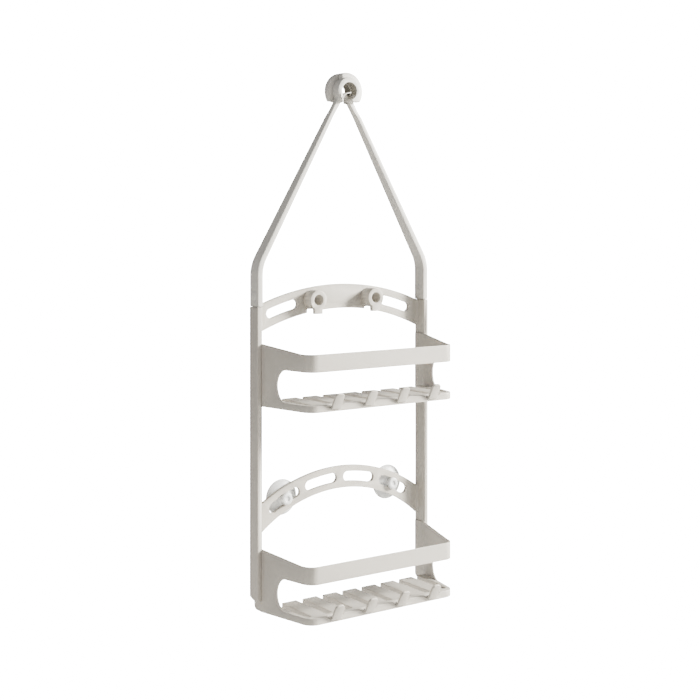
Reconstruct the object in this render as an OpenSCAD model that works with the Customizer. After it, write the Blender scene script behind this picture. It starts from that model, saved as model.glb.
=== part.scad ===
// Hanging shower caddy: two side rails with two baskets, joined to a pair of
// arms whose interleaved hooks close round the shower pipe.
// X is the width, +Y faces the wall, +Z is up. Origin: centre of the pipe bore.

/* [Frame] */
// Overall width over the two side rails
frame_w = 270; // [250:1:290]
// Width of a side rail seen from the front
rail_w = 7.3; // [6.8:0.1:9]
// Depth of a side rail from front to back
rail_d = 19.8; // [18:0.1:23]
// Drop from the bore centre to the top of the side rails
rail_drop = 275.8; // [262:0.5:290]
// Length of a side rail below the seam
rail_len = 365.9; // [350:0.5:380]
// Radius on the long edges of a rail
rail_edge_r = 1.2; // [0.6:0.1:1.8]
// Depth of the chamfer at the rear foot of a rail
foot_chamfer_d = 9; // [5:0.5:11]
// Height of the chamfer at the rear foot of a rail
foot_chamfer_h = 3.3; // [1:0.1:5]
// How far the collar stands in front of the rails' middle plane
collar_lead = 2.4; // [1:0.1:3]

/* [Collar] */
// Bore that takes the shower pipe
bore_d = 23; // [22:0.1:25]
// Outside diameter of the raised boss round the bore
boss_d = 35.6; // [34.6:0.1:38]
// Outside diameter of the hood over the boss
hood_d = 49; // [44:0.5:50]
// Depth of one hook layer from the middle plane
layer_d = 8.8; // [7.5:0.1:9.5]
// How far the boss stands proud of its layer
boss_proud = 5.6; // [4:0.1:7]
// Gap between the front and the rear hook, each side of the middle plane
layer_gap = 0.15; // [0.15:0.01:0.3]
// Distance of the hood's upper end past the middle of the bore
hood_reach = 8; // [5:0.5:10]
// Depth of the hook's free end below the bore centre
hook_drop = 13.6; // [11.5:0.1:14]
// Distance from the bore centre to the root side of the bottom opening
mouth_root = 9.2; // [9:0.1:9.6]
// Distance from the bore centre to the free side of the bottom opening
mouth_tip = 4.6; // [4.4:0.1:6]

/* [Grip liner] */
// Thickness of the rubber liner in the bore
liner_t = 1.4; // [1:0.1:1.8]
// Angle below level at which the liner ends
liner_end_a = 20; // [10:1:22]
// Lip left at each end of the liner's seat
liner_lip = 0.8; // [0.6:0.1:1.5]
// Clearance round the liner in its seat
liner_clear = 0.1; // [0.05:0.01:0.2]

/* [Gate] */
// Distance of the gate's pivot beside the bore centre
gate_pivot_x = 9.8; // [9.7:0.05:10]
// Distance of the gate's pivot below the bore centre
gate_pivot_z = 8; // [7.8:0.1:8.2]
// Diameter of the gate's knuckle
knuckle_d = 2.9; // [2.6:0.1:3]
// Running clearance round the knuckle
knuckle_clear = 0.2; // [0.15:0.01:0.3]
// Thickness of the gate's arched strip
gate_t = 1.5; // [1.2:0.1:1.7]
// Radius of the arch along the strip's middle
gate_arch_r = 15.2; // [14.5:0.1:16]
// Slope of the strip where it leaves the knuckle
gate_root_a = 52; // [48:1:54]
// Angle that the strip runs round its arch
gate_sweep_a = 52; // [48:1:53]
// Distance of the gate's ends from the faces of its hook
gate_end_gap = 0.7; // [0.4:0.1:1.5]

/* [Hanger arms] */
// Distance of an arm's outer edge from the middle at the collar
arm_root_x = 27.5; // [26:0.1:29]
// Drop at which that distance is measured
arm_root_drop = 32.6; // [30:0.5:33]
// Height to which an arm runs on into the boss above that drop
arm_run_up = 24; // [20:0.5:26]
// Width of an arm at the collar
arm_root_w = 6; // [5:0.1:7]
// Drop of the corner where an arm turns down into the rail
shoulder_drop = 222.8; // [210:0.5:228]
// Radius of that corner on its outer edge
shoulder_r = 50; // [35:1:60]
// How far an arm's outer face stands inside the rail's
arm_inset = 0.6; // [0.3:0.1:1]
// How far an arm stands past the rail's inner face
arm_overhang = 1; // [0.6:0.1:1.5]
// Drop down to which an arm keeps to its own layer
split_drop = 24; // [22:0.5:26]
// Drop at which the arm has passed behind the other layer
crossing_drop = 34; // [30:0.5:40]
// Depth gained over that crossing
crossing_d = 2.2; // [1:0.1:3]

/* [Rail joint] */
// Visible gap between an arm and its rail
seam_gap = 0.5; // [0.4:0.05:0.8]
// Width of the tongue on top of a rail
tongue_w = 4; // [3.6:0.1:4.2]
// Depth of the tongue from front to back
tongue_d = 13; // [11:0.1:14]
// Height of the tongue
tongue_h = 26; // [22:0.5:28]
// Play beside the tongue that lets the arm flex
tongue_play = 0.8; // [0.7:0.05:0.85]
// Clearance in front of, behind and above the tongue
tongue_clear = 0.3; // [0.2:0.05:0.5]
// Height of the rivet above the seam
rivet_rise = 13.9; // [12:0.1:15]
// Diameter of the rivet's shank
rivet_d = 5; // [4.5:0.1:6]
// Clearance of the shank in the tongue
rivet_play = 0.3; // [0.25:0.01:0.5]
// Clearance of the shank in the arm
rivet_seat = 0.05; // [0.02:0.01:0.1]
// Diameter of the rivet's outer head
rivet_head_d = 13; // [11:0.5:15]
// Diameter of the rivet's split inner head
rivet_tail_d = 14; // [12:0.5:15]
// Height of the rivet's outer head
rivet_head_h = 1.4; // [1:0.1:2]
// Height of the rivet's inner head
rivet_tail_h = 1.2; // [1:0.1:2]
// Height left under the slot across the inner head
rivet_tail_foot = 0.4; // [0.2:0.1:0.6]
// Width of the slot across the inner head
rivet_slot_w = 1.2; // [0.8:0.1:2]

/* [Crossbars] */
// Thickness of both crossbars
bar_t = 4.9; // [4:0.1:6]
// Radius of the fillet from a crossbar's end to the rail
bar_fillet_r = 4.5; // [3:0.1:6]
// Drop of the upper crossbar's crown
upper_bar_drop = 251.0; // [246:0.5:256]
// Rise of the upper crossbar's crown over its ends at the rails
upper_bar_rise = 25.41; // [23.6:0.01:27.2]
// Height of the upper crossbar
upper_bar_h = 31.7; // [30:0.1:34]
// Drop of the lower crossbar's crown
lower_bar_drop = 489.6; // [484:0.5:492]
// Rise of the lower crossbar's crown over its ends at the rails
lower_bar_rise = 40.86; // [38.0:0.01:43.7]
// Height of the lower crossbar
lower_bar_h = 28.9; // [28:0.1:31]
// Height of the slots in the upper crossbar
upper_slot_h = 12.3; // [10:0.1:14]
// Inner end of the upper crossbar's slots
upper_slot_x0 = 66.6; // [64:0.5:72]
// Outer end of the upper crossbar's slots
upper_slot_x1 = 112.9; // [106:0.5:114]
// Height of the slots in the lower crossbar
lower_slot_h = 12.9; // [12.8:0.1:14]
// Inner end of the lower crossbar's middle slots
inner_slot_x0 = 5.2; // [4:0.1:8]
// Outer end of the lower crossbar's middle slots
inner_slot_x1 = 54.2; // [50:0.5:56]
// Inner end of the lower crossbar's outer slots
outer_slot_x0 = 62.6; // [60:0.2:63]
// Outer end of the lower crossbar's outer slots
outer_slot_x1 = 109.2; // [107:0.2:112]
// Depth of the tenon at each end of a crossbar
tenon_d = 1.5; // [1:0.1:2.5]
// Height of that tenon
tenon_h = 20; // [14:0.5:22]
// Shoulder left in front of and behind the tenon
tenon_shoulder = 1.2; // [0.8:0.1:1.5]
// Clearance round the tenon
tenon_clear = 0.1; // [0.05:0.01:0.2]

/* [Holder bosses] */
// Distance of a holder boss from the middle
holder_x = 45.3; // [40:0.5:50]
// Drop of a holder boss
holder_drop = 269.9; // [267:0.1:271]
// Outside diameter of a holder boss
holder_d = 24.8; // [23:0.1:26]
// Bore of a holder boss
holder_bore_d = 13.7; // [12:0.1:15]
// Length of a holder boss in front of the crossbar
holder_l = 17.8; // [14:0.1:22]
// Diameter of the spigot that plugs into the crossbar
spigot_d = 18.8; // [17:0.1:20]
// Clearance round the spigot
spigot_clear = 0.1; // [0.05:0.01:0.2]
// Width of the tab under the boss
tab_w = 12.4; // [10:0.1:14]
// Thickness of that tab
tab_t = 5.5; // [4:0.1:7]
// Reach of the tab below the boss centre
tab_reach = 17.8; // [16:0.1:20]
// Radius of the fillets beside the tab
tab_fillet_r = 3; // [2:0.1:4]

/* [Baskets] */
// Height from one basket to the other
basket_pitch = 255.8; // [248:0.5:262]
// Drop of the upper basket's floor edge
basket_drop = 399.6; // [394:0.5:404]
// Height of the side panels at the rails
panel_h = 78.2; // [72:0.5:82]
// Height to the top of the front band
band_top_h = 70.4; // [66:0.5:72]
// Height to the underside of the front band
band_low_h = 48.5; // [44:0.5:52]
// Height of the floor's edge
floor_h = 8.8; // [7:0.1:11]
// Distance of the front band from the bore's middle plane
basket_reach = 90.7; // [80:0.5:105]
// Width of the basket at the front
basket_front_w = 222.8; // [200:1:230]
// Outer radius of the front corners
basket_corner_r = 16.2; // [12:0.1:20]
// Thickness of the basket's wall
basket_wall = 2.4; // [2:0.1:3]
// Depth of the seat that a panel has in the rail
panel_seat = 1.2; // [0.8:0.1:1.5]
// Clearance of a panel in that seat
panel_clear = 0.1; // [0.05:0.01:0.2]
// Distance of a panel's rear edge from the rail's rear face
panel_rear_gap = 1; // [0.5:0.1:2]
// Radius of a panel's lower rear corner
panel_corner_r = 6; // [3:0.5:8]
// Rearmost point of the side opening, from the bore's middle plane
window_rear = 33.6; // [30:0.1:40]
// Depth of the side opening's rounded end
window_end_d = 14.5; // [10:0.5:20]
// Width between the floor's slot centres
slot_pitch = 30.6; // [29:0.1:31]
// Width of a slot in the floor
floor_slot_w = 9.2; // [7:0.1:11]
// Distance of the slots' front ends from the front face
slot_front_gap = 10.7; // [9:0.1:14]
// Distance of the floor's rear edge in front of the bore's middle plane
floor_rear = 12; // [10:0.5:20]
// Thickness of the floor's slats
slat_t = 7.6; // [5:0.1:8]
// Width of the strips at the sides and of the floor's edge
floor_rim_w = 6; // [4:0.1:8]
// Diameter of the pegs that hold a panel in the rail
peg_d = 4; // [3:0.1:5]
// Length of those pegs
peg_l = 3.5; // [3:0.1:4]
// Distance of a peg from the rail's front and rear faces
peg_inset = 5.9; // [5:0.1:7]
// Clearance round a peg
peg_clear = 0.1; // [0.05:0.01:0.2]
// Height of the lower and the upper peg above the floor's edge
peg_rows = [24, 60]; // [12:1:70]

/* [Basket hooks] */
// Width between neighbouring hooks
hook_pitch = 49.8; // [46:0.1:52]
// Width of a hook
hook_w = 13.4; // [11:0.1:15]
// Thickness of a hook
hook_t = 3; // [2.4:0.1:3.6]
// Length of a hook
hook_l = 22; // [17:0.1:24]
// Radius of the corners at a hook's tip
hook_corner_r = 5; // [2:0.1:6]
// Lean of a hook towards the front
hook_lean = 29; // [20:1:32]
// Height of a hook's root above the floor's lower edge
hook_rise = 3; // [1:0.1:5]
// How far a hook's root stands in front of the floor's edge
hook_stand = 2; // [1.6:0.1:2.4]
// Height of a hook's root block
hook_root_h = 3.0; // [2.5:0.1:4]
// How far the root block stands out each side of a hook
hook_root_side = 1; // [0.5:0.1:2]
// Width of the scoop behind a hook
scoop_w = 30; // [24:0.5:34]
// Depth of that scoop across the floor's front edge
scoop_d = 3.3; // [2:0.1:4]

/* [Suction cups] */
// Distance of a cup from the middle
cup_x = 84; // [82:0.1:86]
// Diameter of a cup
cup_d = 46.5; // [40:0.5:50]
// Distance from the crossbar's rear face to the cup's rim
cup_reach = 6.7; // [5:0.1:9]
// Wall of the cup at its rim
cup_rim_t = 0.9; // [0.7:0.1:1.4]
// Wall of the cup at its crown
cup_crown_t = 2.2; // [1.8:0.1:2.6]
// Clearance between a cup and the crossbar's faces
cup_gap = 0.3; // [0.25:0.05:0.5]
// Clearance of the neck above and below in its slot
neck_clear = 0.3; // [0.2:0.05:0.5]
// Diameter of the knob in front of the crossbar
knob_d = 15.6; // [15.5:0.1:18]
// Length of the knob
knob_l = 4.6; // [4:0.1:8]
// Width of the chamfer on the knob's edges
knob_edge = 1; // [0.6:0.1:1.4]
// Depth of the hollow in the knob
knob_hollow_l = 1.5; // [1:0.1:2]
// Diameter of the hollow in the knob
knob_hollow_d = 6; // [5:0.1:8]

/* [Hidden] */
$fn = 96;
eps = 0.01;
half_w = frame_w / 2;
rail_front_y = collar_lead - rail_d / 2;
rail_rear_y = collar_lead + rail_d / 2;
rail_in_x = half_w - rail_w;
rail_foot_z = -rail_drop - rail_len;
bore_r = bore_d / 2;
boss_r = boss_d / 2;
hood_r = hood_d / 2;
boss_y = layer_d + boss_proud;
liner_seat_r = bore_r + liner_t + liner_clear;
arm_out_x = half_w - arm_inset;
arm_in_x = rail_in_x - arm_overhang;
arm_foot_w = arm_out_x - arm_in_x;
arm_mid_x = (arm_out_x + arm_in_x) / 2;
arm_a = atan2(arm_out_x - arm_root_x, shoulder_drop - arm_root_drop);
arm_tangent = shoulder_r * tan(arm_a / 2);
shoulder_c = [arm_out_x - shoulder_r, -shoulder_drop - arm_tangent];
shoulder_in_r = shoulder_r - arm_foot_w;
arm_foot_z = -rail_drop + seam_gap;
arm_span = max(frame_w, rail_drop);
rivet_z = -rail_drop + rivet_rise;
bar_front_y = rail_rear_y - bar_t;
upper_bar_r = (pow(rail_in_x, 2) + pow(upper_bar_rise, 2)) / (2 * upper_bar_rise);
lower_bar_r = (pow(rail_in_x, 2) + pow(lower_bar_rise, 2)) / (2 * lower_bar_rise);
upper_bar_z = -upper_bar_drop - upper_bar_r;
lower_bar_z = -lower_bar_drop - lower_bar_r;
upper_mid_r = upper_bar_r - upper_bar_h / 2;
lower_mid_r = lower_bar_r - lower_bar_h / 2;
panel_out_x = rail_in_x + panel_seat - panel_clear / 2;
panel_rear_y = rail_rear_y - panel_rear_gap;
taper_a = atan2(panel_out_x - basket_front_w / 2, basket_reach + rail_front_y);
corner_t = basket_corner_r / tan((90 + taper_a) / 2);
corner_c = [basket_front_w / 2 - corner_t, basket_reach - basket_corner_r];
peg_ys = [rail_front_y + peg_inset, rail_rear_y - peg_inset];
cup_a = asin(cup_x / lower_mid_r);
neck_r = lower_slot_h / 2 - neck_clear;
cup_c = [lower_mid_r * sin(cup_a), lower_bar_z + lower_mid_r * cos(cup_a)];
gate_c = [gate_arch_r * sin(gate_root_a) - gate_pivot_x,
          -gate_pivot_z - gate_arch_r * cos(gate_root_a)];

// Drawing in the front plane (x, z) given a depth from y0 to y1.
module upright(y0, y1) {
    translate([0, y1, 0]) rotate([90, 0, 0]) linear_extrude(height = y1 - y0) children();
}

// Drawing in the side plane (y, z) given a width from x0 to x1.
module sideways(x0, x1) {
    translate([x0, 0, 0]) rotate([90, 0, 90]) linear_extrude(height = x1 - x0) children();
}

// Pie slice between two angles counted from the +x axis.
module slice(a0, a1, reach) {
    mid = (a0 + a1) / 2;
    polygon([
        [0, 0],
        [reach * cos(a0), reach * sin(a0)],
        [2 * reach * cos(mid), 2 * reach * sin(mid)],
        [reach * cos(a1), reach * sin(a1)]
    ]);
}

module ring(r_out, r_in) {
    difference() {
        circle(r = r_out);
        circle(r = r_in);
    }
}

module rounded_rect(w, d, r) {
    square([w - 2 * r, d], center = true);
    square([w, d - 2 * r], center = true);
    for (sx = [-1, 1], sy = [-1, 1]) {
        translate([sx * (w / 2 - r), sy * (d / 2 - r)]) circle(r = r);
    }
}

// ---- crossbars ----

module arch(r_top, h) {
    intersection() {
        ring(r_top, r_top - h);
        translate([-rail_in_x, 0]) square([2 * rail_in_x, r_top + 1]);
    }
}

// Slot with round ends that follows an arch; x0 and x1 are its extreme points.
module arch_slot(r_mid, h, x0, x1) {
    a0 = asin((x0 + h / 2) / r_mid);
    a1 = asin((x1 - h / 2) / r_mid);
    intersection() {
        ring(r_mid + h / 2, r_mid - h / 2);
        slice(90 - a1, 90 - a0, r_mid);
    }
    for (a = [a0, a1]) {
        translate([r_mid * sin(a), r_mid * cos(a)]) circle(r = h / 2);
    }
}

// Height of the middle of an arch where it meets the rail.
function end_mid_z(z, r_top, h) =
    z + (sqrt(pow(r_top, 2) - pow(rail_in_x, 2)) + sqrt(pow(r_top - h, 2) - pow(rail_in_x, 2))) / 2;

module tenon(z_mid, grow) {
    translate([rail_in_x - eps, bar_front_y + tenon_shoulder - grow, z_mid - tenon_h / 2 - grow])
        cube([tenon_d + grow + eps, bar_t - 2 * tenon_shoulder + 2 * grow, tenon_h + 2 * grow]);
}

module bar_end(z, r_top, h) {
    tenon(end_mid_z(z, r_top, h), 0);
    difference() {
        intersection() {
            translate([0, 0, z]) upright(bar_front_y - bar_fillet_r, bar_front_y + eps) arch(r_top, h);
            translate([rail_in_x - bar_fillet_r, rail_front_y, z])
                cube([bar_fillet_r, rail_d, r_top]);
        }
        translate([rail_in_x - bar_fillet_r, bar_front_y - bar_fillet_r, z])
            cylinder(r = bar_fillet_r, h = r_top);
    }
}

module bar(z, r_top, h) {
    translate([0, 0, z]) upright(bar_front_y, rail_rear_y) difference() {
        arch(r_top, h);
        children();
    }
    bar_end(z, r_top, h);
    mirror([1, 0, 0]) bar_end(z, r_top, h);
}

// ---- rails ----

module rail_mortises() {
    tenon(end_mid_z(upper_bar_z, upper_bar_r, upper_bar_h), tenon_clear);
    tenon(end_mid_z(lower_bar_z, lower_bar_r, lower_bar_h), tenon_clear);
}

module panel_seats() {
    for (drop = [basket_drop, basket_drop + basket_pitch]) {
        translate([0, rail_front_y - 1, -drop - panel_clear]) mirror([1, 0, 0])
            translate([-rail_in_x - panel_seat, 0, 0])
            cube([panel_seat + 1, panel_rear_y - rail_front_y + 1 + panel_clear, panel_h + 2 * panel_clear]);
        for (y = peg_ys, h = peg_rows) {
            translate([rail_in_x, y, h - drop]) rotate([0, 90, 0])
                cylinder(d = peg_d + 2 * peg_clear, h = panel_seat + peg_l + peg_clear);
        }
    }
}

module rail() {
    difference() {
        union() {
            translate([half_w - rail_w / 2, collar_lead, rail_foot_z])
                linear_extrude(height = rail_len) rounded_rect(rail_w, rail_d, rail_edge_r);
            translate([arm_mid_x - tongue_w / 2, collar_lead - tongue_d / 2, -rail_drop - eps])
                cube([tongue_w, tongue_d, tongue_h + eps]);
        }
        sideways(rail_in_x - 1, half_w + 1) polygon([
            [rail_rear_y + 1, rail_foot_z - 1],
            [rail_rear_y + 1, rail_foot_z + foot_chamfer_h],
            [rail_rear_y, rail_foot_z + foot_chamfer_h],
            [rail_rear_y - foot_chamfer_d, rail_foot_z],
            [rail_rear_y - foot_chamfer_d, rail_foot_z - 1]
        ]);
        translate([rail_in_x, collar_lead, rivet_z]) rotate([0, 90, 0])
            cylinder(d = rivet_d + 2 * rivet_play, h = rail_w);
        rail_mortises();
        panel_seats();
    }
}

module right_rail() {
    color("gainsboro") rail();
}

module left_rail() {
    color("gainsboro") mirror([1, 0, 0]) rail();
}

// ---- crossbar nodes ----

module upper_crossbar() {
    color("gainsboro") difference() {
        bar(upper_bar_z, upper_bar_r, upper_bar_h) {
            for (m = [0, 1]) {
                mirror([m, 0]) arch_slot(upper_mid_r, upper_slot_h, upper_slot_x0, upper_slot_x1);
            }
        }
        for (sx = [-1, 1]) {
            translate([sx * holder_x, 0, -holder_drop]) upright(bar_front_y - 1, rail_rear_y + 1) {
                circle(d = spigot_d + 2 * spigot_clear);
                translate([-tab_w / 2, -upper_bar_h]) square([tab_w, upper_bar_h - holder_d / 2]);
            }
        }
    }
}

module lower_crossbar() {
    color("gainsboro") bar(lower_bar_z, lower_bar_r, lower_bar_h) {
        for (m = [0, 1]) {
            mirror([m, 0]) arch_slot(lower_mid_r, lower_slot_h, inner_slot_x0, inner_slot_x1);
            mirror([m, 0]) arch_slot(lower_mid_r, lower_slot_h, outer_slot_x0, outer_slot_x1);
        }
    }
}

// ---- holder bosses ----

// Tab below the boss with a concave fillet each side.
module tab_drawing() {
    difference() {
        translate([-tab_w / 2, -tab_reach]) square([tab_w, tab_reach]);
        circle(d = holder_bore_d);
    }
    meet_z = -sqrt(pow(holder_d / 2 + tab_fillet_r, 2) - pow(tab_w / 2 + tab_fillet_r, 2));
    difference() {
        translate([-tab_w / 2 - tab_fillet_r, meet_z]) square([tab_w + 2 * tab_fillet_r, -meet_z - holder_d / 3]);
        for (sx = [-1, 1]) {
            translate([sx * (tab_w / 2 + tab_fillet_r), meet_z]) circle(r = tab_fillet_r);
        }
    }
}

module holder_boss() {
    front_y = bar_front_y - holder_l;
    difference() {
        translate([0, 0, -holder_drop]) {
            upright(front_y, bar_front_y) circle(d = holder_d);
            upright(bar_front_y - eps, rail_rear_y) circle(d = spigot_d);
            upright(front_y, front_y + tab_t) tab_drawing();
        }
        translate([0, 0, -holder_drop]) upright(front_y - 1, rail_rear_y + 1) circle(d = holder_bore_d);
    }
}

module left_holder_boss() {
    color("gainsboro") translate([-holder_x, 0, 0]) holder_boss();
}

module right_holder_boss() {
    color("gainsboro") translate([holder_x, 0, 0]) holder_boss();
}

// ---- baskets ----

// Half of the basket's outline in plan, moved inwards by inset and ending at rear_y.
module half_plan(inset, rear_y) {
    r = basket_corner_r - inset;
    c = [corner_c[0], -corner_c[1]];
    polygon([
        [0, c[1] - r],
        [c[0], c[1] - r],
        [c[0] + r * sin(45), c[1] - r * sin(45)],
        [c[0] + r * cos(taper_a), c[1] - r * sin(taper_a)],
        [panel_out_x - inset, rail_front_y + inset * tan(taper_a / 2)],
        [panel_out_x - inset, rear_y],
        [0, rear_y]
    ]);
    translate(c) circle(r = r);
}

module plan(inset, rear_y) {
    half_plan(inset, rear_y);
    mirror([1, 0]) half_plan(inset, rear_y);
}

module basket_slots() {
    for (i = [-4:3]) {
        translate([(i + 0.5) * slot_pitch - floor_slot_w / 2, slot_front_gap - basket_reach])
            square([floor_slot_w, basket_reach]);
    }
}

// Shape of the side opening in the side plane: straight sides and a rounded rear end.
module window_drawing() {
    z0 = floor_h;
    z1 = band_low_h;
    mid = (z0 + z1) / 2;
    y1 = -window_rear - window_end_d;
    steps = 24;
    polygon(concat(
        [[-2 * basket_reach, z1], [-2 * basket_reach, z0]],
        [for (i = [0:steps])
            let (a = -90 + 180 * i / steps)
            [y1 + window_end_d * cos(a), mid + (z1 - z0) / 2 * sin(a)]]
    ));
}

// Room cut out of the floor: behind its rear edge, below the slats and between them.
module floor_cuts() {
    scoop_r = (pow(scoop_w / 2, 2) + pow(scoop_d, 2)) / (2 * scoop_d);
    translate([0, 0, -1]) linear_extrude(height = floor_h + 2) intersection() {
        plan(basket_wall, panel_rear_y + 1);
        translate([-half_w, -floor_rear]) square(frame_w);
    }
    translate([0, 0, -1]) linear_extrude(height = floor_h - slat_t + 1) plan(floor_rim_w, 0);
    translate([0, 0, -1]) linear_extrude(height = floor_h + 2) intersection() {
        basket_slots();
        plan(floor_rim_w, 0);
    }
    for (i = [-1.5:1:1.5]) {
        translate([i * hook_pitch, -basket_reach, floor_h]) rotate([45, 0, 0])
            translate([0, 0, scoop_r - scoop_d]) rotate([90, 0, 0])
            cylinder(r = scoop_r, h = 8 * scoop_d, center = true);
    }
}

// Upper edge of the panels, the side and front opening and the rounded lower rear corner.
module outline_cuts() {
    sideways(-half_w, half_w) window_drawing();
    sideways(-half_w, half_w) polygon([
        [-2 * basket_reach, band_top_h],
        [-basket_reach + basket_corner_r, band_top_h],
        [rail_front_y, panel_h],
        [rail_front_y, panel_h + 1],
        [-2 * basket_reach, panel_h + 1]
    ]);
    sideways(-half_w, half_w) difference() {
        translate([panel_rear_y - panel_corner_r, -1]) square([panel_corner_r + 1, panel_corner_r + 1]);
        translate([panel_rear_y - panel_corner_r, panel_corner_r]) circle(r = panel_corner_r);
    }
}

module basket_shell() {
    difference() {
        linear_extrude(height = panel_h) plan(0, panel_rear_y);
        translate([0, 0, floor_h]) linear_extrude(height = panel_h) plan(basket_wall, panel_rear_y + 1);
        floor_cuts();
        outline_cuts();
    }
}

module basket_hook() {
    translate([0, -basket_reach - hook_stand, hook_rise]) {
        rotate([hook_lean, 0, 0]) upright(0, hook_t) {
            translate([-hook_w / 2, 0]) square([hook_w, hook_l / 2]);
            translate([0, hook_l / 2]) rounded_rect(hook_w, hook_l, hook_corner_r);
        }
        sideways(-hook_w / 2 - hook_root_side, hook_w / 2 + hook_root_side) polygon([
            [hook_t / 2, 0],
            [hook_t / 2 - hook_root_h * tan(hook_lean), hook_root_h],
            [hook_stand + 1, hook_root_h],
            [hook_stand + 1, 0]
        ]);
    }
}

module basket_pegs() {
    for (m = [0, 1], y = peg_ys, h = peg_rows) {
        mirror([m, 0, 0]) translate([panel_out_x - eps, y, h]) rotate([0, 90, 0])
            cylinder(d = peg_d, h = peg_l + eps);
    }
}

module basket() {
    basket_shell();
    basket_pegs();
    for (i = [-1.5:1:1.5]) {
        translate([i * hook_pitch, 0, 0]) basket_hook();
    }
}

module upper_basket() {
    color("gainsboro") translate([0, 0, -basket_drop]) basket();
}

module lower_basket() {
    color("gainsboro") translate([0, 0, -basket_drop - basket_pitch]) basket();
}

// ---- hanger arms ----

// Arm seen from the front, from the collar down to the seam, drawn for the left side.
module arm_drawing() {
    foot_w = arm_root_w / cos(arm_a);
    steps = 10;
    mirror([1, 0]) polygon(concat(
        [[arm_root_x - arm_run_up * tan(arm_a), -arm_root_drop + arm_run_up]],
        [for (i = [steps:-1:0])
            let (a = arm_a * i / steps)
            [shoulder_c[0] + shoulder_r * cos(a), shoulder_c[1] + shoulder_r * sin(a)]],
        [[arm_out_x, arm_foot_z], [arm_in_x, arm_foot_z]],
        [for (i = [0:steps])
            let (a = arm_a * i / steps)
            [shoulder_c[0] + shoulder_in_r * cos(a), shoulder_c[1] + shoulder_in_r * sin(a)]],
        [[arm_root_x - foot_w, -arm_root_drop],
         [arm_root_x - foot_w - top * tan(arm_a), -arm_root_drop + top]]
    ));
}

// Arm seen from the side. It keeps to its own layer at the collar and then spreads
// to the rail's front and rear planes.
module arm_side_drawing(foot_front_y, foot_rear_y) {
    polygon([
        [-layer_d, hood_r],
        [-layer_d, -split_drop],
        [foot_front_y, shoulder_c[1]],
        [foot_front_y, arm_foot_z],
        [foot_rear_y, arm_foot_z],
        [foot_rear_y, shoulder_c[1]],
        [crossing_d, -crossing_drop],
        [-layer_gap, -split_drop],
        [-layer_gap, hood_r]
    ]);
}

module hood_drawing() {
    intersection() {
        circle(r = hood_r);
        union() {
            translate([-hood_reach, 0]) square([2 * hood_r, hood_r]);
            translate([0, -hook_drop]) square([hood_r, hood_r]);
        }
    }
}

// Bore, bottom mouth and the knuckle's pocket, drawn for the front hook.
module bore_drawing() {
    circle(r = bore_r);
    translate([-mouth_root, -hood_r]) square([mouth_root + mouth_tip, hood_r]);
    translate([0, -hood_r - hook_drop]) square([hood_r, hood_r]);
    translate([-gate_pivot_x, -gate_pivot_z]) circle(r = knuckle_d / 2 + knuckle_clear);
}

module liner_seat() {
    upright(-boss_y + liner_lip, -layer_gap - liner_lip) intersection() {
        ring(liner_seat_r, bore_r - 1);
        union() {
            slice(-liner_end_a - 1, 91, hood_r);
            slice(89, 181 + liner_end_a, hood_r);
        }
    }
}

// Socket for the rail's tongue and the hole for the rivet, on the left side.
module arm_socket(y) {
    translate([-arm_mid_x - tongue_w / 2 - tongue_play, y - tongue_d / 2 - tongue_clear, arm_foot_z - 1])
        cube([
            tongue_w + 2 * tongue_play,
            tongue_d + 2 * tongue_clear,
            tongue_h - seam_gap + tongue_clear + tongue_play + 1
        ]);
    translate([-arm_out_x - 1, y, rivet_z]) rotate([0, 90, 0])
        cylinder(d = rivet_d + 2 * rivet_seat, h = arm_foot_w + 2);
}

// Arm with its hook, drawn for the left side with the hook in front.
module hooked_arm(foot_front_y, foot_rear_y) {
    difference() {
        union() {
            upright(-boss_y, -layer_gap) circle(r = boss_r);
            upright(-layer_d, -layer_gap) hood_drawing();
            intersection() {
                upright(-arm_span, arm_span) arm_drawing();
                sideways(-arm_span, arm_span) arm_side_drawing(foot_front_y, foot_rear_y);
            }
        }
        upright(-boss_y - 1, 1) bore_drawing();
        liner_seat();
        arm_socket((foot_front_y + foot_rear_y) / 2);
    }
}

module left_hanger_arm() {
    color("whitesmoke") hooked_arm(rail_front_y, rail_rear_y);
}

module right_hanger_arm() {
    color("whitesmoke") rotate([0, 0, 180]) hooked_arm(-rail_rear_y, -rail_front_y);
}

// ---- grip liners ----

module liner_drawing(r_out) {
    intersection() {
        ring(r_out, bore_r);
        union() {
            slice(-liner_end_a, 90, hood_r);
            slice(90, 180 + liner_end_a, hood_r);
        }
    }
}

module front_grip_liner() {
    color("silver")
        upright(-boss_y + liner_lip + liner_clear, -layer_gap - liner_lip - liner_clear)
        liner_drawing(bore_r + liner_t);
}

module rear_grip_liner() {
    color("silver")
        upright(layer_gap + liner_lip + liner_clear, boss_y - liner_lip - liner_clear)
        mirror([1, 0]) liner_drawing(bore_r + liner_t);
}

// ---- gates ----

// Knuckle and arched strip, drawn for the front hook.
module gate_drawing() {
    translate([-gate_pivot_x, -gate_pivot_z]) circle(d = knuckle_d);
    start_a = 90 + gate_root_a;
    translate(gate_c) {
        intersection() {
            ring(gate_arch_r + gate_t / 2, gate_arch_r - gate_t / 2);
            slice(start_a - gate_sweep_a, start_a, 2 * gate_arch_r);
        }
        rotate(start_a - gate_sweep_a) translate([gate_arch_r, 0]) circle(d = gate_t);
    }
}

module front_gate() {
    color("lightgray")
        upright(-boss_y + gate_end_gap, -layer_gap - gate_end_gap) gate_drawing();
}

module rear_gate() {
    color("lightgray")
        upright(layer_gap + gate_end_gap, boss_y - gate_end_gap) mirror([1, 0]) gate_drawing();
}

// ---- push rivets ----

// Cap of a sphere with a flat base of diameter d and height h, opening along +z.
module cap(d, h) {
    r = (pow(d / 2, 2) + pow(h, 2)) / (2 * h);
    intersection() {
        translate([0, 0, h - r]) sphere(r = r);
        cylinder(d = d + 1, h = h + 1);
    }
}

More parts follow.
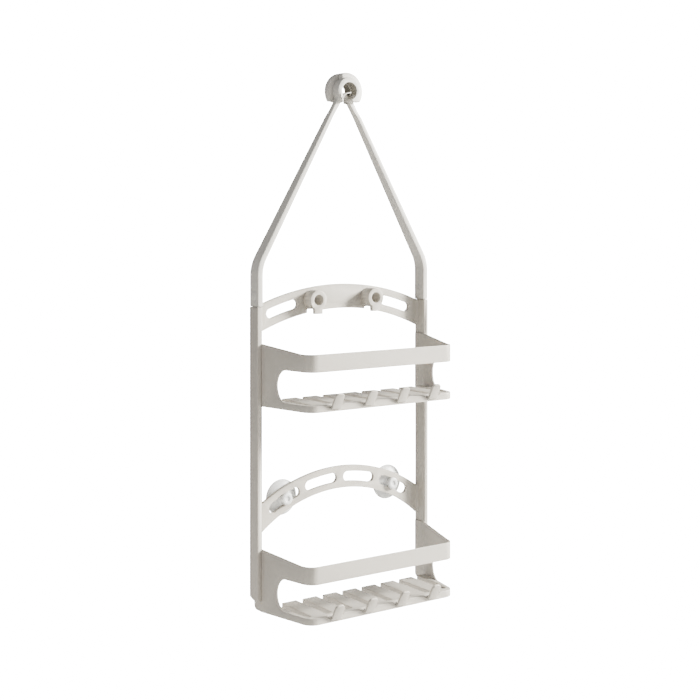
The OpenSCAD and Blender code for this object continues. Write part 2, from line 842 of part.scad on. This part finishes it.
module push_rivet() {
    translate([arm_in_x, collar_lead, rivet_z]) rotate([0, 90, 0]) {
        translate([0, 0, -eps]) cylinder(d = rivet_d, h = arm_foot_w + 2 * eps);
        translate([0, 0, arm_foot_w]) cap(rivet_head_d, rivet_head_h);
        difference() {
            mirror([0, 0, 1]) cap(rivet_tail_d, rivet_tail_h);
            translate([-rivet_slot_w / 2, -rivet_tail_d, -rivet_tail_h - 1])
                cube([rivet_slot_w, 2 * rivet_tail_d, rivet_tail_h - rivet_tail_foot + 1]);
        }
    }
}

module right_push_rivet() {
    color("whitesmoke") push_rivet();
}

module left_push_rivet() {
    color("whitesmoke") mirror([1, 0, 0]) push_rivet();
}

// ---- suction cups ----

// Half section of a cup about its axis; z runs from the knob to the rim.
module cup_section() {
    knob_front = -cup_gap - knob_l;
    crown = bar_t + cup_gap;
    rim = bar_t + cup_reach;
    r = cup_d / 2;
    // Share of the radius and of the height at three points of the outer and the inner skin.
    dome = [[0.5, 0], [0.75, 0.3], [0.92, 0.65]];
    hollow = [[0.45, 0], [0.7, 0.3], [0.88, 0.75]];
    polygon([
        [0, knob_front + knob_hollow_l],
        [knob_hollow_d / 2, knob_front + knob_hollow_l],
        [knob_hollow_d / 2, knob_front],
        [knob_d / 2 - knob_edge, knob_front],
        [knob_d / 2, knob_front + knob_edge],
        [knob_d / 2, -cup_gap - knob_edge],
        [knob_d / 2 - knob_edge, -cup_gap],
        [neck_r, -cup_gap],
        [neck_r, crown],
        [r * dome[0][0], crown],
        [r * dome[1][0], crown + (rim - crown) * dome[1][1]],
        [r * dome[2][0], crown + (rim - crown) * dome[2][1]],
        [r, rim - cup_rim_t / 3],
        [r, rim],
        [r - cup_rim_t, rim],
        [r * hollow[2][0], crown + (rim - crown) * hollow[2][1]],
        [r * hollow[1][0], crown + (rim - crown) * hollow[1][1] + cup_crown_t / 1.5],
        [r * hollow[0][0], crown + cup_crown_t],
        [0, crown + cup_crown_t]
    ]);
}

module suction_cup() {
    translate([cup_c[0], bar_front_y, cup_c[1]]) rotate([-90, 0, 0])
        rotate_extrude() cup_section();
}

module right_suction_cup() {
    color("white", 0.6) suction_cup();
}

module left_suction_cup() {
    color("white", 0.6) mirror([1, 0, 0]) suction_cup();
}

left_rail();
right_rail();
upper_crossbar();
lower_crossbar();
left_holder_boss();
right_holder_boss();
upper_basket();
lower_basket();
left_hanger_arm();
right_hanger_arm();
left_push_rivet();
right_push_rivet();
front_grip_liner();
rear_grip_liner();
front_gate();
rear_gate();
left_suction_cup();
right_suction_cup();
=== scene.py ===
import logging
import math
from dataclasses import dataclass
from enum import Enum
from typing import Dict, List, Sequence, Tuple

import bmesh
import bpy
import numpy as np
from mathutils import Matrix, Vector


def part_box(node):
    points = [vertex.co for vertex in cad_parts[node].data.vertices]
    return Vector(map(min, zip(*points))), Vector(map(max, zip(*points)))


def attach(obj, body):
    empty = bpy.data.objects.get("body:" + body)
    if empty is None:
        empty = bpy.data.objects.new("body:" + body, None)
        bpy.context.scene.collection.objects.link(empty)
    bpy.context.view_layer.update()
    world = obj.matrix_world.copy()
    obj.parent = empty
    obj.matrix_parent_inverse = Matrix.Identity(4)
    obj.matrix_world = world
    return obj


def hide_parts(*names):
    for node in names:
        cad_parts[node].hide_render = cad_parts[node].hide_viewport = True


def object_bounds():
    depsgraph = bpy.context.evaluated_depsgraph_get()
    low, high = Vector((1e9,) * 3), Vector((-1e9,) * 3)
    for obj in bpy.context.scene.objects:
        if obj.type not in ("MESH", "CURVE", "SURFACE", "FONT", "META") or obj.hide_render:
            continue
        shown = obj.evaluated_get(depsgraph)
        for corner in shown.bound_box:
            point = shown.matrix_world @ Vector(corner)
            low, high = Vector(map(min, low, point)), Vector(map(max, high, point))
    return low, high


LOG = logging.getLogger("shower_caddy")
MM = 0.001
Profile = Sequence[Tuple[float, float]]

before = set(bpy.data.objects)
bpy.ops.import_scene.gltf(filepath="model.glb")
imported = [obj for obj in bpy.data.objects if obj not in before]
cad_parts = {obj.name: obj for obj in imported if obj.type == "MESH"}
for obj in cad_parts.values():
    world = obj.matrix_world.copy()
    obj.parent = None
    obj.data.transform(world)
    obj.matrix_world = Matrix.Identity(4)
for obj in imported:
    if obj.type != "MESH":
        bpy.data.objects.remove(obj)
CAD_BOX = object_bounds()


# ---------------------------------------------------------------- helpers


def linear(hex_colour: str) -> Tuple[float, float, float, float]:
    """Turn an sRGB hex value into linear RGBA by the sRGB curve.

    Args:
        hex_colour: Colour such as "#d8d5cf".

    Returns:
        Linear red, green, blue and an alpha of 1.
    """
    raw = hex_colour.lstrip("#")
    srgb = [int(raw[i:i + 2], 16) / 255 for i in (0, 2, 4)]
    lin = [c / 12.92 if c <= 0.04045 else ((c + 0.055) / 1.055) ** 2.4 for c in srgb]
    return lin[0], lin[1], lin[2], 1.0


def add_node(tree: bpy.types.NodeTree, kind: str, settings: Dict[str, object] | None = None,
             values: Dict[str, object] | None = None,
             links: Dict[str, bpy.types.NodeSocket] | None = None) -> bpy.types.Node:
    """Add one node, set it up and link its inputs.

    Args:
        tree: Node tree that gets the node.
        kind: Node type name, such as "ShaderNodeBump".
        settings: Attributes of the node.
        values: Input name to fixed value.
        links: Input name to the output socket that feeds it.

    Returns:
        The new node.
    """
    node = tree.nodes.new(kind)
    for key, value in (settings or {}).items():
        setattr(node, key, value)
    for key, value in (values or {}).items():
        node.inputs[key].default_value = value
    for key, socket in (links or {}).items():
        tree.links.new(socket, node.inputs[key])
    return node


def blank_finish(name: str, ior: float) -> Tuple[bpy.types.Material, bpy.types.Node, bpy.types.NodeSocket]:
    """Start a finish that is placed by the piece's own coordinates.

    Args:
        name: Name of the material.
        ior: Index of refraction.

    Returns:
        The material, its shader and the coordinates its patterns use.
    """
    mat = bpy.data.materials.new(name)
    mat.use_nodes = True
    shader = mat.node_tree.nodes["Principled BSDF"]
    shader.inputs["IOR"].default_value = ior
    coords = add_node(mat.node_tree, "ShaderNodeTexCoord")
    return mat, shader, coords.outputs["Object"]


def mix_colours(tree: bpy.types.NodeTree, shader: bpy.types.Node, share: bpy.types.NodeSocket,
                first: str, second: str) -> None:
    """Colour the shader between two tints.

    Args:
        tree: Node tree of the finish.
        shader: Shader whose base colour is set.
        share: Share of the second tint.
        first: First tint as sRGB hex.
        second: Second tint as sRGB hex.
    """
    tint = add_node(tree, "ShaderNodeMix", settings={"data_type": "RGBA"})
    tint.inputs[6].default_value = linear(first)
    tint.inputs[7].default_value = linear(second)
    tree.links.new(share, tint.inputs[0])
    tree.links.new(tint.outputs[2], shader.inputs["Base Color"])


def put_mesh(name: str, points: np.ndarray, faces: np.ndarray) -> bpy.types.Object:
    """Make a closed mesh object at the origin from arrays, merged and turned outwards.

    Args:
        name: Name of the new object.
        points: Vertex places in metres, one row each.
        faces: Four vertex numbers a face.

    Returns:
        The new object, linked to the scene.
    """
    mesh = bpy.data.meshes.new(name)
    mesh.from_pydata(points.tolist(), [], faces.tolist())
    bm = bmesh.new()
    bm.from_mesh(mesh)
    bmesh.ops.remove_doubles(bm, verts=bm.verts, dist=1e-6)
    bmesh.ops.dissolve_degenerate(bm, edges=bm.edges, dist=1e-7)
    bmesh.ops.recalc_face_normals(bm, faces=bm.faces)
    bm.to_mesh(mesh)
    bm.free()
    obj = bpy.data.objects.new(name, mesh)
    bpy.context.scene.collection.objects.link(obj)
    return obj


def shade(obj: bpy.types.Object, sharp_deg: float) -> None:
    """Shade smooth everywhere except over edges sharper than sharp_deg.

    Args:
        obj: Mesh object to shade.
        sharp_deg: Angle in degrees above which an edge stays crisp.
    """
    obj.data.shade_smooth()
    obj.data.set_sharp_from_angle(angle=math.radians(sharp_deg))


def grid_faces(rows: int, columns: int, wrap_rows: bool, wrap_columns: bool) -> np.ndarray:
    """Quads over a grid of points numbered row by row.

    Args:
        rows: Number of rows of points.
        columns: Number of points in a row.
        wrap_rows: Join the last row to the first.
        wrap_columns: Join the last column to the first.

    Returns:
        Array of four vertex numbers a face.
    """
    i, j = np.meshgrid(np.arange(rows if wrap_rows else rows - 1),
                       np.arange(columns if wrap_columns else columns - 1), indexing="ij")
    i2, j2 = (i + 1) % rows, (j + 1) % columns
    quad = [i * columns + j, i2 * columns + j, i2 * columns + j2, i * columns + j2]
    return np.stack([q.ravel() for q in quad], axis=1)


def soften(profile: np.ndarray, passes: int) -> np.ndarray:
    """Round a profile's corners: each pass cuts a quarter off both ends of every edge.

    Args:
        profile: Points of an open profile, one row each.
        passes: Number of times the corners are cut.

    Returns:
        The rounded profile, with its first and last points kept.
    """
    points = np.asarray(profile, float)
    for _ in range(passes):
        a, b = points[:-1], points[1:]
        cut = np.stack([0.75 * a + 0.25 * b, 0.25 * a + 0.75 * b], axis=1).reshape(-1, points.shape[1])
        points = np.vstack([points[:1], cut, points[-1:]])
    return points


# --------------------------------------------------------------- finishes


@dataclass(frozen=True)
class MouldedPolypropylene:
    """Injection-moulded polypropylene: satin, faintly cloudy in colour, with a fine spark-eroded grain."""

    name: str
    base: str = "#b3aea4"
    cloud: str = "#aba69c"
    roughness_low: float = 0.36
    roughness_high: float = 0.47
    cloud_mm: float = 38.0
    grain_mm: float = 0.7
    grain_depth_mm: float = 0.02
    grain_strength: float = 0.5
    flow_mm: float = 6.0
    flow_stretch: float = 0.22
    flow_depth_mm: float = 0.03
    flow_strength: float = 0.35
    ior: float = 1.49
    glow_through: float = 0.08
    glow_reach: Tuple[float, float, float] = (0.004, 0.0035, 0.003)

    def material(self) -> bpy.types.Material:
        """Build the material.

        Returns:
            Material with cloudy colour, varied roughness, flow marks and mould grain.
        """
        mat, shader, place = blank_finish(self.name, self.ior)
        tree = mat.node_tree
        shader.inputs["Subsurface Weight"].default_value = self.glow_through
        shader.inputs["Subsurface Radius"].default_value = self.glow_reach
        shader.inputs["Subsurface Scale"].default_value = 1.0
        cloud = add_node(tree, "ShaderNodeTexNoise",
                         values={"Scale": 1 / (self.cloud_mm * MM), "Detail": 3.0, "Roughness": 0.55},
                         links={"Vector": place})
        mix_colours(tree, shader, cloud.outputs["Fac"], self.base, self.cloud)
        # Slow streaks where the melt ran down the long members.
        stretch = add_node(tree, "ShaderNodeMapping", values={"Scale": (1.0, 1.0, self.flow_stretch)},
                           links={"Vector": place})
        flow = add_node(tree, "ShaderNodeTexNoise",
                        values={"Scale": 1 / (self.flow_mm * MM), "Detail": 2.0},
                        links={"Vector": stretch.outputs["Vector"]})
        rough = add_node(tree, "ShaderNodeMapRange",
                         values={"From Min": 0.3, "From Max": 0.7, "To Min": self.roughness_low,
                                 "To Max": self.roughness_high},
                         links={"Value": flow.outputs["Fac"]})
        tree.links.new(rough.outputs["Result"], shader.inputs["Roughness"])
        # Real spark grain is about 0.1 mm; it is drawn coarser so that it shows.
        grain = add_node(tree, "ShaderNodeTexNoise",
                         values={"Scale": 1 / (self.grain_mm * MM), "Detail": 2.0},
                         links={"Vector": place})
        waves = add_node(tree, "ShaderNodeBump",
                         values={"Strength": self.flow_strength, "Distance": self.flow_depth_mm * MM},
                         links={"Height": flow.outputs["Fac"]})
        bump = add_node(tree, "ShaderNodeBump",
                        values={"Strength": self.grain_strength, "Distance": self.grain_depth_mm * MM},
                        links={"Height": grain.outputs["Fac"], "Normal": waves.outputs["Normal"]})
        tree.links.new(bump.outputs["Normal"], shader.inputs["Normal"])
        return mat


@dataclass(frozen=True)
class ClearVinyl:
    """Soft clear vinyl, satin and milky, as on suction cups."""

    name: str
    base: str = "#fbfcfb"
    haze: str = "#f1f3f2"
    transmission: float = 0.34
    roughness_low: float = 0.3
    roughness_high: float = 0.42
    haze_mm: float = 9.0
    peel_depth_mm: float = 0.03
    peel_strength: float = 0.3
    ior: float = 1.53

    def material(self) -> bpy.types.Material:
        """Build the material.

        Returns:
            Material with milky transmission and a faint orange-peel skin.
        """
        mat, shader, place = blank_finish(self.name, self.ior)
        tree = mat.node_tree
        shader.inputs["Transmission Weight"].default_value = self.transmission
        haze = add_node(tree, "ShaderNodeTexNoise", values={"Scale": 1 / (self.haze_mm * MM), "Detail": 2.0},
                        links={"Vector": place})
        mix_colours(tree, shader, haze.outputs["Fac"], self.base, self.haze)
        rough = add_node(tree, "ShaderNodeMapRange",
                         values={"To Min": self.roughness_low, "To Max": self.roughness_high},
                         links={"Value": haze.outputs["Fac"]})
        tree.links.new(rough.outputs["Result"], shader.inputs["Roughness"])
        peel = add_node(tree, "ShaderNodeBump",
                        values={"Strength": self.peel_strength, "Distance": self.peel_depth_mm * MM},
                        links={"Height": haze.outputs["Fac"]})
        tree.links.new(peel.outputs["Normal"], shader.inputs["Normal"])
        return mat


@dataclass(frozen=True)
class GripRubber:
    """Thermoplastic rubber, matt and slightly dusty, with a fine stipple; its dark grey base is partly painted
    shade, the shade inside the collar's bore.
    """

    name: str
    # Painted shade: this dark grey partly stands in for the shade inside the collar's bore, on top of the
    # rubber liner's own colour.
    base: str = "#827e75"
    dust: str = "#8b877d"
    roughness_low: float = 0.68
    roughness_high: float = 0.86
    dust_mm: float = 2.5
    stipple_mm: float = 0.6
    stipple_depth_mm: float = 0.05
    stipple_strength: float = 0.6
    ior: float = 1.5

    def material(self) -> bpy.types.Material:
        """Build the material.

        Returns:
            Material with dusty colour and stipple.
        """
        mat, shader, place = blank_finish(self.name, self.ior)
        tree = mat.node_tree
        dust = add_node(tree, "ShaderNodeTexNoise", values={"Scale": 1 / (self.dust_mm * MM), "Detail": 4.0},
                        links={"Vector": place})
        mix_colours(tree, shader, dust.outputs["Fac"], self.base, self.dust)
        rough = add_node(tree, "ShaderNodeMapRange",
                         values={"To Min": self.roughness_low, "To Max": self.roughness_high},
                         links={"Value": dust.outputs["Fac"]})
        tree.links.new(rough.outputs["Result"], shader.inputs["Roughness"])
        stipple = add_node(tree, "ShaderNodeTexNoise", values={"Scale": 1 / (self.stipple_mm * MM)},
                           links={"Vector": place})
        bump = add_node(tree, "ShaderNodeBump",
                        values={"Strength": self.stipple_strength, "Distance": self.stipple_depth_mm * MM},
                        links={"Height": stipple.outputs["Fac"]})
        tree.links.new(bump.outputs["Normal"], shader.inputs["Normal"])
        return mat


class Side(Enum):
    """Side of the caddy seen from the front."""

    LEFT = "left"
    RIGHT = "right"


# ----------------------------------------------------------------- pieces


@dataclass
class Moulding:
    """A moulded CAD solid shown with its edges rounded, in place of its raw node."""

    node: str
    body: str
    slot: str
    edge_mm: float = 0.8
    steps: int = 3
    crease_deg: float = 32.0
    flat_deg: float = 0.4
    thin_inside_mm: float = 0.0
    thin_share: float = 0.3
    stop_at_meeting: bool = False

    def weigh_edges(self, bm: bmesh.types.BMesh) -> None:
        """Give each creased edge its share of the rounding: less where the walls round the bore are thin.

        Args:
            bm: Mesh of the piece.
        """
        weight = bm.edges.layers.float.new("bevel_weight_edge")
        creased = [e for e in bm.edges
                   if len(e.link_faces) == 2 and e.calc_face_angle(0.0) > math.radians(self.crease_deg)]
        for e in creased:
            centre = (e.verts[0].co + e.verts[1].co) / 2
            near = math.hypot(centre.x, centre.z) < self.thin_inside_mm * MM
            e[weight] = self.thin_share if near else 1.0

    def build(self, material: bpy.types.Material) -> bpy.types.Object:
        """Merge a copy of the node, join its flat facets and round its edges.

        Args:
            material: Finish of the piece.

        Returns:
            The finished piece.
        """
        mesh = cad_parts[self.node].data.copy()
        mesh.name = self.node + "_moulding"
        bm = bmesh.new()
        bm.from_mesh(mesh)
        bmesh.ops.remove_doubles(bm, verts=bm.verts, dist=2e-6)
        bmesh.ops.dissolve_limit(bm, angle_limit=math.radians(self.flat_deg),
                               verts=bm.verts, edges=bm.edges)
        self.weigh_edges(bm)
        bm.to_mesh(mesh)
        bm.free()
        obj = bpy.data.objects.new(self.node + "_moulding", mesh)
        bpy.context.scene.collection.objects.link(obj)
        mesh.materials.clear()
        mesh.materials.append(material)
        mesh.polygons.foreach_set("material_index", np.zeros(len(mesh.polygons), dtype=np.int32))
        mesh.shade_smooth()
        edge = obj.modifiers.new("rounded_edges", "BEVEL")
        edge.width = self.edge_mm * MM
        edge.segments = self.steps
        edge.limit_method = "WEIGHT"
        edge.use_clamp_overlap = self.stop_at_meeting
        edge.harden_normals = True
        edge.miter_outer = "MITER_ARC"
        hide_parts(self.node)
        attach(obj, self.body)
        return obj


@dataclass
class SuctionCup:
    """Clear cup behind the lower crossbar with its neck in a slot and its knob in front."""

    side: Side
    knob_r: float = 7.8
    knob_l: float = 4.6
    hollow_r: float = 3.0
    bar_t: float = 4.9
    gap: float = 0.3
    neck_r: float = 6.15
    neck_edge: float = 0.2
    rim_share: float = 0.999
    turns: int = 96

    def profile(self, rim_r: float, reach: float) -> Profile:
        """Half section from the knob's hollow to the inside of the cup, in mm.

        Args:
            rim_r: Radius of the cup's rim.
            reach: Distance from the knob's front to the rim.

        Returns:
            Radius and depth of each corner, depth counted from the knob's front.
        """
        crown = self.knob_l + self.gap + self.bar_t + self.gap
        deep = reach - crown
        return [
            (0.0, 1.5), (self.hollow_r * 0.7, 1.5), (self.hollow_r, 1.0), (self.hollow_r + 0.3, 0.1),
            (self.knob_r * 0.62, 0.0), (self.knob_r * 0.88, 0.35), (self.knob_r, 1.6),
            (self.knob_r, 2.8), (self.knob_r * 0.95, self.knob_l - 0.6), (self.knob_r * 0.82, self.knob_l),
            (self.neck_r + self.neck_edge, self.knob_l), (self.neck_r, self.knob_l),
            (self.neck_r, self.knob_l + self.neck_edge), (self.neck_r, crown - self.neck_edge),
            (self.neck_r, crown), (self.neck_r + self.neck_edge, crown), (rim_r * 0.46, crown + 0.05),
            (rim_r * 0.62, crown + deep * 0.16), (rim_r * 0.78, crown + deep * 0.4),
            (rim_r * 0.91, crown + deep * 0.7), (rim_r * 0.985, reach - 0.35), (rim_r, reach),
            (rim_r * 0.965, reach), (rim_r * 0.9, crown + deep * 0.86),
            (rim_r * 0.76, crown + deep * 0.6), (rim_r * 0.6, crown + deep * 0.44),
            (rim_r * 0.4, crown + deep * 0.34), (0.0, crown + deep * 0.3),
        ]

    def build(self, material: bpy.types.Material) -> bpy.types.Object:
        """Turn the softened profile about the cup's axis, which runs along Y.

        Args:
            material: Finish of the cup.

        Returns:
            The finished cup.
        """
        node = f"{self.side.value}_suction_cup"
        low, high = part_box(node)
        axis_x, axis_z = (low.x + high.x) / 2, (low.z + high.z) / 2
        rim_r, reach = (high.x - low.x) / 2 / MM, (high.y - low.y) / MM
        section = soften(np.array(self.profile(rim_r * self.rim_share, reach)), 2) * MM
        turn = np.linspace(0, 2 * np.pi, self.turns, endpoint=False)
        radius, angle = np.meshgrid(section[:, 0], turn, indexing="ij")
        depth = np.repeat(section[:, 1:2], self.turns, axis=1)
        points = np.stack([axis_x + radius * np.cos(angle), low.y + depth,
                           axis_z + radius * np.sin(angle)], axis=-1).reshape(-1, 3)
        obj = put_mesh(node + "_moulding", points, grid_faces(len(section), self.turns, False, True))
        obj.data.materials.append(material)
        shade(obj, 50)
        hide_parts(node)
        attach(obj, f"{self.side.value}_cup")
        return obj


@dataclass
class GripLiner:
    """Ribbed rubber liner in one half of the collar."""

    node: str
    body: str
    bore_r: float = 11.5
    thickness: float = 1.4
    end_deg: float = 20.0
    rib_deg: float = 10.0
    rib_mm: float = 0.22
    skin_mm: float = 0.02
    columns: int = 264

    def build(self, material: bpy.types.Material) -> bpy.types.Object:
        """Sweep a box section round the bore; its inner wall rises and falls as a squared sine.

        Args:
            material: Finish of the liner.

        Returns:
            The finished liner.
        """
        low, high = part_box(self.node)
        angle = np.radians(np.linspace(-self.end_deg, 180 + self.end_deg, self.columns))
        rib = np.sin(angle * 180 / self.rib_deg / 2) ** 2
        inner = (self.bore_r + self.skin_mm + self.rib_mm * rib) * MM
        outer = np.full_like(inner, (self.bore_r + self.thickness) * MM)
        radius = np.stack([inner, inner, outer, outer], axis=1)
        y = np.tile([low.y, high.y, high.y, low.y], (self.columns, 1))
        points = np.stack([radius * np.cos(angle)[:, None], y, radius * np.sin(angle)[:, None]],
                          axis=-1).reshape(-1, 3)
        faces = grid_faces(self.columns, 4, False, True)
        last = (self.columns - 1) * 4
        caps = np.array([[0, 1, 2, 3], [last + 3, last + 2, last + 1, last]])
        obj = put_mesh(self.node + "_ribbed", points, np.vstack([faces, caps]))
        obj.data.materials.append(material)
        shade(obj, 40)
        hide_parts(self.node)
        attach(obj, self.body)
        return obj


@dataclass
class CaddyFrame:
    """Rails, crossbars and holder bosses."""

    rail_edge: float = 0.6
    bar_edge: float = 0.9
    boss_edge: float = 0.7

    def build(self, material: bpy.types.Material) -> List[bpy.types.Object]:
        """Make the frame's mouldings.

        Args:
            material: Finish of the frame.

        Returns:
            The pieces.
        """
        edges = {"left_rail": self.rail_edge, "right_rail": self.rail_edge,
                 "upper_crossbar": self.bar_edge, "lower_crossbar": self.bar_edge,
                 "left_holder_boss": self.boss_edge, "right_holder_boss": self.boss_edge}
        return [Moulding(node, "caddy", "frame", edge, stop_at_meeting="crossbar" in node).build(material)
                for node, edge in edges.items()]


@dataclass
class Baskets:
    """The upper and the lower basket."""

    edge: float = 0.7

    def build(self, material: bpy.types.Material) -> List[bpy.types.Object]:
        """Make both baskets from the same rounded moulding.

        Args:
            material: Finish of the baskets.

        Returns:
            The pieces.
        """
        return [Moulding(node, "caddy", "frame", self.edge).build(material)
                for node in ("upper_basket", "lower_basket")]


@dataclass
class HangerArm:
    """One arm with its hook, its rivet and its gate."""

    side: Side
    edge: float = 1.1
    thin_inside: float = 14.0
    rivet_edge: float = 0.25
    gate_edge: float = 0.3

    def build(self, arm: bpy.types.Material, rivet: bpy.types.Material,
              gate: bpy.types.Material) -> List[bpy.types.Object]:
        """Make the arm's mouldings.

        Args:
            arm: Finish of the arm.
            rivet: Finish of the rivet.
            gate: Finish of the gate.

        Returns:
            The pieces.
        """
        body = f"{self.side.value}_arm"
        layer = "front" if self.side is Side.LEFT else "rear"
        return [
            Moulding(f"{self.side.value}_hanger_arm", body, "arm", self.edge,
                     thin_inside_mm=self.thin_inside).build(arm),
            Moulding(f"{self.side.value}_push_rivet", body, "rivet", self.rivet_edge, 2).build(rivet),
            Moulding(f"{layer}_gate", f"{layer}_gate", "gate", self.gate_edge, 2).build(gate),
        ]


# ------------------------------------------------------------------ studio


@dataclass
class Studio:
    """Pale floor, soft lights and the camera."""

    camera_at: Tuple[float, float, float] = (-0.9636, -1.3886, -0.1601)
    heading_deg: float = 35.05
    lens_mm: float = 66.57
    horizon_shift: float = -0.1938
    floor_drop: float = 0.16
    floor_half: float = 30.0
    paper: str = "#cfcecb"
    glow: float = 0.42
    backdrop: float = 24.0
    floor_lift: float = 0.9

    def lamp(self, name: str, place: Tuple[float, float, float], size: float, power: float,
             aim: Tuple[float, float, float], tint: str) -> None:
        """Add a square soft light.

        Args:
            name: Name of the light.
            place: Where it stands, in metres.
            size: Length of its side, in metres.
            power: Power in watts.
            aim: Point it looks at.
            tint: Colour as sRGB hex.
        """
        data = bpy.data.lights.new(name, "AREA")
        data.shape = "SQUARE"
        data.size = size
        data.energy = power
        data.color = linear(tint)[:3]
        lamp = bpy.data.objects.new(name, data)
        lamp.location = place
        lamp.rotation_euler = (Vector(aim) - Vector(place)).to_track_quat("-Z", "Y").to_euler()
        bpy.context.scene.collection.objects.link(lamp)

    def floor(self) -> None:
        """Lay a wide pale floor below the object."""
        z, half = CAD_BOX[0].z - self.floor_drop, self.floor_half
        corners = [(-half, -half, z), (half, -half, z), (half, half, z), (-half, half, z)]
        mesh = bpy.data.meshes.new("floor")
        mesh.from_pydata(corners, [], [(0, 1, 2, 3)])
        obj = bpy.data.objects.new("floor", mesh)
        bpy.context.scene.collection.objects.link(obj)
        mat = bpy.data.materials.new("matt_white_paper")
        mat.use_nodes = True
        shader = mat.node_tree.nodes["Principled BSDF"]
        shader.inputs["Base Color"].default_value = linear(self.paper)
        shader.inputs["Roughness"].default_value = 0.9
        # Looked at directly the paper glows white; on the object it casts only what plain paper would.
        lift = add_node(mat.node_tree, "ShaderNodeEmission",
                        values={"Color": (1.0, 1.0, 1.0, 1.0), "Strength": self.backdrop})
        path = add_node(mat.node_tree, "ShaderNodeLightPath")
        share = add_node(mat.node_tree, "ShaderNodeMath", settings={"operation": "MULTIPLY"},
                         values={1: self.floor_lift}, links={0: path.outputs["Is Camera Ray"]})
        pick = add_node(mat.node_tree, "ShaderNodeMixShader",
                        links={0: share.outputs[0], 1: shader.outputs[0], 2: lift.outputs[0]})
        mat.node_tree.links.new(pick.outputs[0], mat.node_tree.nodes["Material Output"].inputs["Surface"])
        mesh.materials.append(mat)

    def sky(self) -> None:
        """Give the world an even white glow."""
        world = bpy.data.worlds.new("studio_white")
        world.use_nodes = True
        glow = world.node_tree.nodes["Background"]
        glow.inputs["Color"].default_value = (1.0, 1.0, 1.0, 1.0)
        glow.inputs["Strength"].default_value = self.glow
        backdrop = add_node(world.node_tree, "ShaderNodeBackground",
                            values={"Color": (1.0, 1.0, 1.0, 1.0), "Strength": self.backdrop})
        path = add_node(world.node_tree, "ShaderNodeLightPath")
        pick = add_node(world.node_tree, "ShaderNodeMixShader",
                        links={0: path.outputs["Is Camera Ray"], 1: glow.outputs[0], 2: backdrop.outputs[0]})
        out = world.node_tree.nodes["World Output"]
        world.node_tree.links.new(pick.outputs[0], out.inputs["Surface"])
        bpy.context.scene.world = world

    def camera(self) -> None:
        """Stand the camera level, to the front left."""
        data = bpy.data.cameras.new("camera")
        data.sensor_width = 36.0
        data.lens = self.lens_mm
        data.shift_y = self.horizon_shift
        data.clip_end = 100
        cam = bpy.data.objects.new("camera", data)
        cam.location = self.camera_at
        cam.rotation_euler = (math.radians(90), 0.0, math.radians(-self.heading_deg))
        bpy.context.scene.collection.objects.link(cam)
        bpy.context.scene.camera = cam

    def build(self) -> None:
        """Set up floor, sky, lights and camera."""
        self.camera()
        self.floor()
        self.sky()
        middle = (0.0, -0.02, -0.38)
        self.lamp("key", (3.2, -1.9, 1.1), 1.0, 1150.0, middle, "#fffdf8")
        self.lamp("fill", (-1.9, -0.6, 0.2), 1.6, 9.0, middle, "#f8f9ff")


def main() -> None:
    """Build the caddy's pieces in order, then the studio."""
    logging.basicConfig(level=logging.INFO, format="%(name)s: %(message)s")
    plastic = MouldedPolypropylene("satin_polypropylene").material()
    arm_plastic = MouldedPolypropylene("satin_polypropylene_arm", base="#c3c0b9", cloud="#b9b6ae").material()
    rivet_plastic = MouldedPolypropylene("satin_acetal_rivet", base="#c8c5be", cloud="#bfbcb5",
                                         roughness_low=0.28, roughness_high=0.38).material()
    gate_plastic = MouldedPolypropylene("satin_polypropylene_gate", base="#bab7b0", cloud="#b0ada5").material()
    vinyl = ClearVinyl("clear_soft_vinyl").material()
    rubber = GripRubber("grip_rubber_painted_bore_shade").material()

    pieces = CaddyFrame().build(plastic) + Baskets().build(plastic)
    for side in Side:
        pieces += HangerArm(side).build(arm_plastic, rivet_plastic, gate_plastic)
        pieces.append(SuctionCup(side).build(vinyl))
    # The liners' dark grey is partly painted shade for the inside of the bore.
    pieces.append(GripLiner("front_grip_liner", "left_arm").build(rubber))
    pieces.append(GripLiner("rear_grip_liner", "right_arm").build(rubber))
    Studio().build()


if __name__ == "__main__":
    main()
